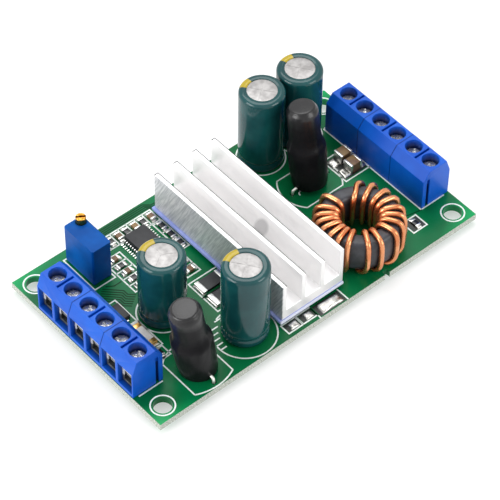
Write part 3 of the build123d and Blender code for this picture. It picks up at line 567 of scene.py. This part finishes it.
def winding_route(steps=56):
    """Points of the wire: once round the core's section for each turn, moving on under the core."""
    route = []
    for i, angle in enumerate(turn_angles):
        share = np.linspace(0.0, 1.0, steps, endpoint=False)
        turn = 2 * np.pi * share
        following = turn_angles[i + 1] if i + 1 < len(turn_angles) else last_angle
        across, up = rounded(turn, wire_half_width, wire_half_height, 0.56)
        # From the top of the outer side round to the foot of the inner side the angle stays, and then
        # the wire crosses under the core to the next turn's angle.
        under = np.clip((share - 0.5) / 0.5, 0.0, 1.0)
        # The last turns lean over more and more as they cross the top, and so leave room in the hole.
        leaning = last_slant * (i / (len(turn_angles) - 1)) ** 12
        over = np.clip(share / 0.5, 0.0, 1.0)
        moved = angle + leaning * (3 * over ** 2 - 2 * over ** 3)
        moved = moved + (following - angle - leaning) * (3 * under ** 2 - 2 * under ** 3)
        radius = wire_middle + across
        level = core_level + up
        route.append(np.stack([
            toroid_x + radius * np.cos(moved), toroid_y + radius * np.sin(moved), level], -1))
    # The last turn stops where it comes out under the core, before it would climb again.
    route[-1] = route[-1][:int(0.88 * steps)]
    # Both ends of the wire stand upright beside the core and go down into the board.
    ends_of_wire = []
    for angle, levels in ((turn_angles[0], (0.2, 1.4, 2.6)), (last_angle, (1.2, 0.7, 0.2))):
        x, y = toroid_x + wire_outer * np.cos(angle), toroid_y + wire_outer * np.sin(angle)
        ends_of_wire.append(np.array([[x, y, level] for level in levels]))
    return np.concatenate([ends_of_wire[0], *route, ends_of_wire[1]])


def tube(path, radius, columns, aside):
    """A round tube: rings square to the path, each started from a direction the path never takes."""
    along = np.gradient(path, axis=0)
    along /= np.linalg.norm(along, axis=1, keepdims=True)
    outward = aside - along * (along * aside).sum(1, keepdims=True)
    outward /= np.linalg.norm(outward, axis=1, keepdims=True)
    sideways = np.cross(along, outward)
    angle = np.linspace(0.0, 2 * np.pi, columns, endpoint=False)
    ring = outward[:, None] * np.cos(angle)[:, None] + sideways[:, None] * np.sin(angle)[:, None]
    return path[:, None] + ring * radius


enamel, *_ = finish("clear enamel on copper", "#cf7d4c", "#e39c6c", 3.0, 1.0, 0.003,
                    Metallic=0.9, Roughness=0.26, Coat_Weight=0.4, Coat_Roughness=0.1)
wire = winding_route()
round_the_core = np.cross([0.0, 0.0, 1.0], wire - [toroid_x, toroid_y, 0.0])
piece("toroid_winding_wire", [tube(wire, wire_radius, 12, round_the_core)], enamel,
      replaces=("toroid_winding",))

# Electrolytic capacitors. A drawn aluminium can, crimped round its rubber plug near the foot, in a dark
# teal shrunk sleeve that folds in over the top edge. The bare top is scored so that it can vent.
sleeve_edge = 0.95
fold_inner = 3.3


def capacitor_sleeve():
    """Glossy dark plastic, with a paler stripe and a yellow band on the side of the negative lead."""
    made, tree, shader, place, ramp, bump = finish(
        "teal shrunk sleeve", "#0e3f42", "#154b4d", 5.0, 0.8, 0.006, Roughness=0.13, Specular_IOR_Level=0.38)
    mark = add(tree, "ShaderNodeAttribute", attribute_name="marked")
    band = add(tree, "ShaderNodeMix", {0: (mark, 2), 6: (ramp, 0), 7: linear("#b09a24")}, data_type="RGBA")
    tree.links.new(band.outputs[2], shader.inputs["Base Color"])
    return made


sleeve_finish = capacitor_sleeve()
bare_aluminium, *_ = finish("scored bare aluminium", "#8f8d8c", "#aaa8a7", 1.5, 0.25, 0.006,
                            Metallic=0.9, Roughness=0.5)
cans = {
    "capacitor_left": (3, 90.0, 100.0, 27.0),
    "capacitor_front": (4, 35.0, 100.0, 27.0),
    "capacitor_back_inner": (4, 35.0, 110.0, 19.0),
    "capacitor_back_outer": (4, 35.0, 93.0, 19.0),
}
for node, (score_arms, score_turn, mark_angle, mark_half) in cans.items():
    low, high = (np.array(corner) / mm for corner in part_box(node))
    x, y = (low[:2] + high[:2]) / 2
    radius = (high[0] - low[0]) / 2
    top = high[2]
    foot = [(0.0, deck + 0.05), (radius - 0.9, deck + 0.05), (radius - 0.35, deck + 0.15),
            (radius - 0.08, deck + 0.5)]
    groove = [(radius - 0.25 * np.exp(-((z - 2.3) / 0.42) ** 2), deck + z) for z in np.linspace(1.0, 3.8, 15)]
    bend = np.linspace(0.0, np.pi / 2, 7)
    shoulder = [(radius + sleeve_edge * (np.cos(a) - 1.0), top + sleeve_edge * (np.sin(a) - 1.0)) for a in bend]
    fold = [(fold_inner + 0.15, top - 0.01), (fold_inner, top - 0.08), (fold_inner - 0.02, top - 0.24)]
    profile = foot + groove + shoulder + fold + [(0.0, top - 0.24)]
    columns = 96
    grid = lathe(profile, x, y, columns)
    sleeve = piece(f"{node}_sleeve", [grid], sleeve_finish, replaces=(node,))
    points = grid.reshape(-1, 3)
    angle = np.degrees(np.arctan2(points[:, 1] - y, points[:, 0] - x))
    away = np.abs((angle - mark_angle + 180.0) % 360.0 - 180.0)
    on_top = points[:, 2] > top - 0.4
    marked = np.where(on_top, away < mark_half, away < 9.0) * np.where(on_top, 1.0, 0.35)
    sleeve.data.attributes.new("marked", "FLOAT", "POINT").data.foreach_set("value", marked.astype(np.float32))
    scores = star(columns, score_arms, 0.12, 3.0, np.radians(score_turn))
    disc = [(0.0, top - 0.5), (fold_inner - 0.03, top - 0.5), (fold_inner - 0.03, top - 0.22),
            (fold_inner - 0.25, top - 0.17), (scores + 0.05, top - 0.16), (scores, top - 0.21),
            (scores * 0.5, top - 0.21), (0.0, top - 0.21)]
    piece(f"{node}_vent", [lathe(disc, x, y, columns)], bare_aluminium)

# Rod chokes. A ferrite rod wound with wire is sealed in black heat-shrink, which gathers in at the
# neck, wraps the flat crown and hangs loose and creased round the wound belly. It stands on its leads.
choke_rubber, tree, shader, place, *_ = finish("black heat-shrink", "#121214", "#1c1b1d", 4.0, 0.35, 0.03,
                                               Roughness=0.28)
# The crown is stretched tight and shines; the loose sides are dull. The leads are tin-plated.
plated_lead, *_ = finish(
    "tin plate on lead", "#dcdbd4", "#f6f5f0", 1.5, 0.3, 0.004, Metallic=0.75, Roughness=0.35)
axes = add(tree, "ShaderNodeSeparateXYZ", {0: (place, 0)})
shine = add(tree, "ShaderNodeMapRange", {0: (axes, 2), 1: 18.5, 2: 21.5, 3: 0.07, 4: 0.45})
tree.links.new(shine.outputs[0], shader.inputs["Specular IOR Level"])
# Place, the way it leans, the belly's radius, and how far the skirt hangs down to the board.
chokes = {"rod_choke_front": (-28.1, -17.65, 180.0, 4.5, 1.0), "rod_choke_back": (22.1, 5.2, 90.0, 4.35, 0.0)}
lean = np.radians(9.4)
choke_height, lead_reach, lead_radius = 20.4, 4.95, 0.33
for node, (x, y, lean_to, belly, hang) in chokes.items():
    # Radius at heights along the leaning axis: foot, belly, crease under the neck, neck, crown.
    heights = np.array([0.0, 0.3, 3.0, 6.0, 9.2, 10.2, 10.8, 11.6, 13.0, 16.0, 18.6,
                        19.2, 19.6, 19.85, 20.0, 20.2, 20.36, 20.4])
    radii = np.array([belly - 0.6, belly - 0.45, belly - 0.25, belly - 0.12, belly - 0.02, belly - 0.05,
                      belly - 0.4, 3.72, 3.5, 3.47, 3.46, 3.4, 3.2, 2.98, 2.92, 2.84, 2.55, 2.35])
    fine = np.concatenate([np.linspace(0.0, 18.6, 60), heights[heights > 18.7]])
    radius = np.interp(fine, heights, radii)
    radius[:60] = np.convolve(np.pad(radius[:60], 2, "edge"), [0.1, 0.2, 0.4, 0.2, 0.1], "valid")
    turn = np.linspace(0.0, 2 * np.pi, 96, endpoint=False)
    loose = np.exp(-((fine - 9.5) / 3.2) ** 2)[:, None]
    folds = 0.07 * np.sin(5 * turn + 0.35 * fine[:, None]) + 0.05 * np.sin(11 * turn - 0.5 * fine[:, None] + 1.0)
    crease = 0.05 * np.sin(3 * turn + 2.0) * np.exp(-((fine[:, None] - 11.2) / 0.8) ** 2)
    skin = radius[:, None] - loose * (0.1 + folds) + crease
    skin = np.vstack([np.zeros((1, 96)), skin, np.zeros((1, 96))])
    # The skirt of the sleeve ends level with the board, so its lowest rows are drawn down to it.
    foot_level = (-0.68 + skin[1] * np.cos(turn) * np.sin(lean)) / np.cos(lean)
    level = np.concatenate([[0.0], fine, [choke_height]])[:, None]
    level = level + hang * foot_level * np.clip(1.0 - level / 5.0, 0.0, 1.0)
    level[0] = hang * foot_level.mean()
    toward = np.radians(lean_to)
    across = np.array([np.cos(toward), np.sin(toward), 0.0])
    upward = across * np.sin(lean) + np.array([0.0, 0.0, np.cos(lean)])
    sideways = np.cross(upward, across)
    forward = np.cross(sideways, upward)
    foot = np.array([x, y, deck + 0.8])
    grid = foot + level[..., None] * upward + skin[..., None] * (
        np.cos(turn)[None, :, None] * forward + np.sin(turn)[None, :, None] * sideways)
    piece(f"{node}_sleeve", [grid], choke_rubber, replaces=(node,), crease=60.0)
    # Its two leads bend out from under the belly and down into the board.
    leads = []
    for side in (-1, 1):
        end = np.array([x, y, 0.0]) + sideways * lead_reach * side
        inward = -sideways * side
        bends = [(0.3, 0.0), (1.2, 0.0), (2.0, 0.0), (2.5, 0.1), (2.72, 0.45), (2.75, 1.2)]
        path = np.array([end + [0, 0, up] + inward * under for up, under in bends])
        leads.append(tube(path, lead_radius, 12, across))
    piece(f"{node}_leads", leads, plated_lead)

# Trimmer. A blue moulded case sealed with resin, and a slotted brass screw in one corner of its top that
# turns a worm and moves a wiper inside.
trimmer_plastic, *_ = finish("blue moulded polyester", "#004691", "#0052a3", 4.0, 0.15, 0.004, Roughness=0.42,
                            Specular_IOR_Level=0.12)
softened("trimmer_body", "trimmer_case", 0.1, trimmer_plastic)
brass, *_ = finish("turned brass", "#8f6424", "#c99a48", 0.6, 0.2, 0.006, Metallic=1.0, Roughness=0.26)
screw_low, screw_high = (np.array(corner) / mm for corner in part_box("trimmer_screw"))
x, y = (screw_low[:2] + screw_high[:2]) / 2
radius = (screw_high[0] - screw_low[0]) / 2
top = screw_high[2]
cut = star(96, 2, 0.25, radius - 0.02, np.radians(-33.0))
profile = [(0.0, screw_low[2]), (radius - 0.1, screw_low[2]), (radius, screw_low[2] + 0.1), (radius, top - 0.12),
           (np.maximum(radius - 0.12, cut), top), (np.minimum(cut + 0.01, radius - 0.01), top - 0.001),
           (cut, top - 0.05), (cut * 0.99, top - 0.7), (0.0, top - 0.7)]
piece("trimmer_screw_turned", [lathe(profile, x, y, 96)], brass, body="trimmer_screw",
      replaces=("trimmer_screw",))


# Controller chip. A black moulded body, whose dot for its first lead is not drawn, and tinned leads that
# leave its two long sides, bend down and lie flat on the pads.
def bar(low, high, edge, axis=0):
    """A brick with rounded edges along one axis: a rounded rectangle, drawn in at both ends."""
    low, high = np.array(low, float), np.array(high, float)
    centre, half = (low + high) / 2, (high - low) / 2
    order = [(axis + i) % 3 for i in range(3)]
    half = half[order]
    bend = np.linspace(0.0, np.pi / 2, 4)
    quarter = np.stack([edge * np.cos(bend), edge * np.sin(bend)], 1)
    quarter_turn = np.array([[0.0, 1.0], [-1.0, 0.0]])
    corners = []
    for sy, sz in [(1, 1), (-1, 1), (-1, -1), (1, -1)]:
        corners.append(quarter + [sy * (half[1] - edge), sz * (half[2] - edge)])
        quarter = quarter @ quarter_turn
    outline = np.concatenate(corners)
    station = -half[0] + edge - edge * np.cos(bend)
    station = np.concatenate([station, -station[::-1]])[:, None]
    inset = edge - edge * np.sin(bend)
    inset = np.concatenate([inset, inset[::-1]])[:, None]
    grid = np.zeros((len(station), len(outline), 3))
    grid[..., order[0]] = station
    grid[..., order[1]] = outline[:, 0] * (1.0 - inset / half[1])
    grid[..., order[2]] = outline[:, 1] * (1.0 - inset / half[2])
    return grid + centre


chip_x, chip_y, chip_half_x, chip_half_y = -15.7, 13.7, 2.65, 4.1
chip_leads, chip_lead_pitch = 12, 0.65
chip_body = bar((chip_x - chip_half_x, chip_y - chip_half_y, deck + 0.12),
                (chip_x + chip_half_x, chip_y + chip_half_y, deck + 1.87), 0.12, axis=1)
piece("controller_chip_body", [chip_body], moulding, replaces=("controller_chip",))


def bent_strip(path, width, thickness, y):
    """A flat strip along a path of (x, z) points, with its width along Y."""
    path = np.array(path, float)
    along = np.gradient(path, axis=0)
    along /= np.linalg.norm(along, axis=1, keepdims=True)
    normal = np.stack([-along[:, 1], along[:, 0]], 1)
    upper, lower = path + normal * thickness / 2, path - normal * thickness / 2
    corners = [(lower, -1), (lower, 1), (upper, 1), (upper, -1)]
    grid = [np.stack([edge[:, 0], np.full(len(path), y + s * width / 2), edge[:, 1]], 1) for edge, s in corners]
    return np.stack(grid, 1)


tinned, *_ = finish("tinned lead", "#c4c4c2", "#ecebe8", 0.8, 0.2, 0.003, Metallic=1.0, Roughness=0.28)
leads = []
for side in (-1, 1):
    for i in range(chip_leads):
        lead_y = chip_y + chip_lead_pitch * (i - (chip_leads - 1) / 2)
        path = [(2.6, 0.85), (2.9, 0.85), (3.02, 0.78), (3.12, 0.3), (3.24, 0.1), (3.4, 0.08), (3.9, 0.08)]
        strip = bent_strip([(chip_x + side * px, deck + pz) for px, pz in path], 0.26, 0.14, lead_y)
        leads.append(strip if side > 0 else strip[:, ::-1])
piece("controller_chip_leads", leads, tinned)


# Small surface parts. Chip resistors and capacitors are ceramic blocks with tinned ends that wrap round
# them. The shunts are black moulded strips, the diode is a flat moulded block and the fuse is ceramic.
def chip_part(x, y, size_x, size_y, height, cap, edge=0.07):
    """Body and two end caps of a chip whose ends lie along its longer side."""
    place = np.array([x, y, deck])
    axis = 0 if size_x >= size_y else 1
    half = np.array([size_x / 2, size_y / 2, 0.0])
    along = np.eye(3)[axis]
    grow = 0.03 * (1.0 - along)
    inner = half - 0.05 * along
    body = bar(place - inner + [0, 0, 0.03], place + inner + [0, 0, height], edge, axis)
    ends = []
    for side in (-1, 1):
        middle = place + along * side * (half[axis] - cap / 2)
        reach = half * (1.0 - along) + along * cap / 2 + grow * [1, 1, 0]
        ends.append(bar(middle - reach + [0, 0, 0.01], middle + reach + [0, 0, height + 0.03], edge, axis))
    return body, ends


glaze, *_ = finish("black glazed ceramic", "#17181a", "#232427", 1.0, 0.2, 0.004, Roughness=0.22)
fired, *_ = finish("brown fired ceramic", "#6c4f3c", "#8d7046", 2.5, 0.15, 0.01, Roughness=0.5)
white_ceramic, *_ = finish("white ceramic", "#d9d4cb", "#efece6", 2.0, 0.3, 0.01, Roughness=0.5)
gilt, *_ = finish("gilt end cap", "#b98c4a", "#dcb878", 0.8, 0.2, 0.004, Metallic=1.0, Roughness=0.3)

resistor_places, capacitor_places = [], []
for i in range(7):
    (resistor_places if i % 2 else capacitor_places).append((-22.8 + 2.15 * i, 19.4, 1.25, 2.0))
for i in range(5):
    (resistor_places if i % 2 else capacitor_places).append((-23.1, 6.6 + 2.1 * i, 2.0, 1.25))
alone = [(31.3, -17.7), (-31.6, -9.9), (-9.7, 10.0), (-9.7, 13.0), (-9.7, 16.0)]
resistor_places += [(x, y, 1.25, 2.0) for x, y in alone]
capacitor_places += [(x, y, 2.0, 1.25) for x, y in ((-12.9, 5.4), (-12.9, 2.9))]
thick_places = [(x, y, 3.2, 2.5, 2.4, 0.6) for x, y in ((32.4, 6.1), (32.1, 2.7))]
shunt_places = [(-11.8, y, 6.4, 3.2, 0.65, 1.1) for y in (-2.35, -6.6)]
groups = [
    ("chip_resistors", [(*place, 0.5, 0.4) for place in resistor_places], glaze, tinned, "resistor"),
    ("chip_capacitors", [(*place, 0.8, 0.45) for place in capacitor_places], fired, tinned, "ceramic_brown"),
    ("ceramic_capacitors", thick_places, fired, tinned, "ceramic_brown"),
    ("shunt_resistors", shunt_places, moulding, tinned, "resistor"),
    ("fuse", [(-31.3, -4.5, 2.2, 6.2, 0.8, 1.2)], white_ceramic, gilt, "ceramic_white"),
]
for node, parts, body_finish, cap_finish, slot in groups:
    built = [chip_part(*part) for part in parts]
    piece(f"{node}_bodies", [body for body, ends_made in built], body_finish, replaces=(node,))
    piece(f"{node}_ends", [end for body, ends_made in built for end in ends_made], cap_finish)
diode_body = bar((-32.95, 0.95, deck + 0.05), (-30.25, 5.25, deck + 1.0), 0.2, axis=1)
diode_tabs = bar((-32.3, 0.5, deck + 0.02), (-30.9, 5.7, deck + 0.16), 0.05, axis=1)
piece("diode_body", [diode_body], moulding, replaces=("diode",))
piece("diode_tabs", [diode_tabs], tinned)


# Solder. Each surface part sits between fillets that climb its ends and thin out over its pads, and the
# bare pads at the near edge carry their own flat, uneven mounds.
def mound(x0, y0, x1, y1, height, seed):
    """A low mound: height times the product of one less each offset's fourth power, to the power 0.6."""
    rows, columns = 17, 17
    u = np.linspace(-1.0, 1.0, rows)[:, None]
    v = np.linspace(-1.0, 1.0, columns)[None, :]
    rise = ((1 - u ** 4) * (1 - v ** 4)) ** 0.6
    uneven = 1.0 + 0.25 * np.sin(2.1 * u + seed) * np.cos(1.7 * v - 2 * seed)
    x = (x0 + x1) / 2 + u * (x1 - x0) / 2 + 0 * v
    y = (y0 + y1) / 2 + v * (y1 - y0) / 2 + 0 * u
    top = np.stack([x, y, deck + 0.01 + height * rise * uneven], -1)
    base = np.stack([x, y, np.full_like(x, deck + 0.002)], -1)
    return np.concatenate([top, base[:, ::-1]], 1)


solder, *_ = finish("bright solder", "#a9a8a4", "#d6d4ce", 1.0, 0.6, 0.04, Metallic=1.0, Roughness=0.3)
# The dark sheets round the pads under the thick capacitors, under one resistor and at the near edge are painted
# shade, laid where the parts above and beside them shade the board.
painted_shade, *_ = finish("dark flux on bare pads", "#1f2422", "#343833", 1.2, 0.3, 0.01, Roughness=0.4)
painted_shade_beds = [((-8.2, -21.7), (-5.0, -21.7), 2.1), ((-4.3, -21.7), (-1.1, -21.7), 2.1),
        ((-0.5, -22.2), (6.5, -22.2), 3.0), ((28.6, 4.3), (35.1, 4.3), 6.6), ((29.6, -17.7), (32.9, -17.7), 3.0)]
piece("painted_shade_on_pads", [ribbon([start, stop], width, gap_height) for start, stop, width in painted_shade_beds], painted_shade)
pads = [(28.7, 5.0, 30.9, 7.3, 0.35), (33.9, 5.0, 35.0, 7.3, 0.35),
        (28.7, 1.4, 30.6, 4.0, 0.35), (33.6, 1.4, 35.0, 4.0, 0.35),
        (-7.5, -22.7, -5.2, -20.9, 0.4), (-3.4, -22.7, -1.4, -20.9, 0.4), (0.3, -23.5, 6.0, -20.9, 0.5),
        (-15.4, -4.1, -14.2, -0.6, 0.3), (-9.4, -4.1, -8.2, -0.6, 0.3),
        (-15.4, -8.4, -14.2, -4.9, 0.3), (-9.4, -8.4, -8.2, -4.9, 0.3),
        (-32.6, -8.1, -30.0, -7.2, 0.3), (-32.6, -1.8, -30.0, -0.9, 0.3)]
pad_step, pad_along, pad_across = 1.15, 0.4, 0.68
for x, y, size_x, size_y in resistor_places + capacitor_places:
    for step in (-pad_step, pad_step):
        if size_x > size_y:
            pads.append((x + step - pad_along, y - pad_across, x + step + pad_along, y + pad_across, 0.3))
        else:
            pads.append((x - pad_across, y + step - pad_along, x + pad_across, y + step + pad_along, 0.3))
piece("soldered_pads", [mound(*pad, seed=0.7 * i) for i, pad in enumerate(pads)], solder, crease=80.0)
dress("solder_joints", solder)


# Camera and lights. A long lens looks down over the near left corner. One big soft lamp stands over the
# board, others come in low from the near right and from the left, and a pale room fills the rest.
azimuth, elevation, roll = np.radians([-41.447, 48.897, 0.909])
aim_right, aim_up, distance = 0.656, 0.62, 521.596
focal_pixels, image_pixels, sensor = 2505.23, 500, 36.0
back = np.array([np.sin(azimuth) * np.cos(elevation), -np.cos(azimuth) * np.cos(elevation), np.sin(elevation)])
level_right = np.array([np.cos(azimuth), np.sin(azimuth), 0.0])
level_up = np.cross(back, level_right)
right = np.cos(roll) * level_right + np.sin(roll) * level_up
upright = np.cos(roll) * level_up - np.sin(roll) * level_right
turned = np.eye(4)
turned[:3, 0], turned[:3, 1], turned[:3, 2] = right, upright, back
turned[:3, 3] = (aim_right * right + aim_up * upright + distance * back) * mm
lens = bpy.data.cameras.new("camera")
lens.sensor_width = sensor
lens.lens = focal_pixels / image_pixels * sensor
lens.clip_start = 0.01
camera = bpy.data.objects.new("camera", lens)
camera.matrix_world = Matrix(turned.tolist())
bpy.context.scene.collection.objects.link(camera)
bpy.context.scene.camera = camera


def softbox(name, place, target, size, power):
    """A square area lamp in mm that faces a target."""
    lamp = bpy.data.lights.new(name, "AREA")
    lamp.size, lamp.energy = size * mm, power
    away = np.array(place, float) - np.array(target, float)
    away /= np.linalg.norm(away)
    across = np.cross([0.0, 0.0, 1.0] if abs(away[2]) < 0.95 else [0.0, 1.0, 0.0], away)
    across /= np.linalg.norm(across)
    stand = np.eye(4)
    stand[:3, :3] = np.stack([across, np.cross(away, across), away], 1)
    stand[:3, 3] = np.array(place) * mm
    made = bpy.data.objects.new(name, lamp)
    made.matrix_world = Matrix(stand.tolist())
    bpy.context.scene.collection.objects.link(made)


softbox("overhead_softbox", (60.0, 120.0, 330.0), (0.0, 0.0, 0.0), 260.0, 0.75)
softbox("near_softbox", (150.0, -330.0, 180.0), (0.0, 0.0, 5.0), 200.0, 0.6)
softbox("left_softbox", (-330.0, 60.0, 170.0), (0.0, 0.0, 5.0), 220.0, 0.9)
world = bpy.data.worlds.new("pale room")
bpy.context.scene.world = world
world.use_nodes = True
room = world.node_tree
# The room is white to the lens, in metal and through glass, and lights the object at a little over half.
room_fill = 0.55
seen = add(room, "ShaderNodeLightPath")
through = add(room, "ShaderNodeMath", {0: (seen, "Is Camera Ray"), 1: (seen, "Is Transmission Ray")},
              operation="MAXIMUM")
shown = add(room, "ShaderNodeMath", {0: (through, 0), 1: (seen, "Is Glossy Ray")}, operation="MAXIMUM")
strength = add(room, "ShaderNodeMath", {0: (shown, 0), 1: 1.0 - room_fill, 2: room_fill},
               operation="MULTIPLY_ADD")
room.links.new(strength.outputs[0], room.nodes["Background"].inputs["Strength"])
room.nodes["Background"].inputs["Color"].default_value = (1.0, 1.0, 1.0, 1.0)

# Floor. A plain pale sheet just under the board's solder, lit white to the lens, that keeps the shadow.
floor_level = cad_box[0][2] / mm - 0.05
floor_reach = 900.0
sheet = bpy.data.meshes.new("floor")
floor_corners = np.array([(-1, -1), (1, -1), (1, 1), (-1, 1)]) * floor_reach
sheet.from_pydata(np.hstack([floor_corners, np.full((4, 1), floor_level)]) * mm, [], [(0, 1, 2, 3)])
floor = bpy.data.objects.new("floor", sheet)
bpy.context.scene.collection.objects.link(floor)
paper, *_ = finish("white paper", "#c6c6c6", "#c9c9c9", 60.0, 1.0, 0.01, Roughness=0.8,
                   Specular_IOR_Level=0.1, Emission_Color=(1.0, 1.0, 1.0, 1.0), Emission_Strength=0.45)
sheet.materials.append(paper)

bpy.context.scene.view_settings.view_transform = "Standard"
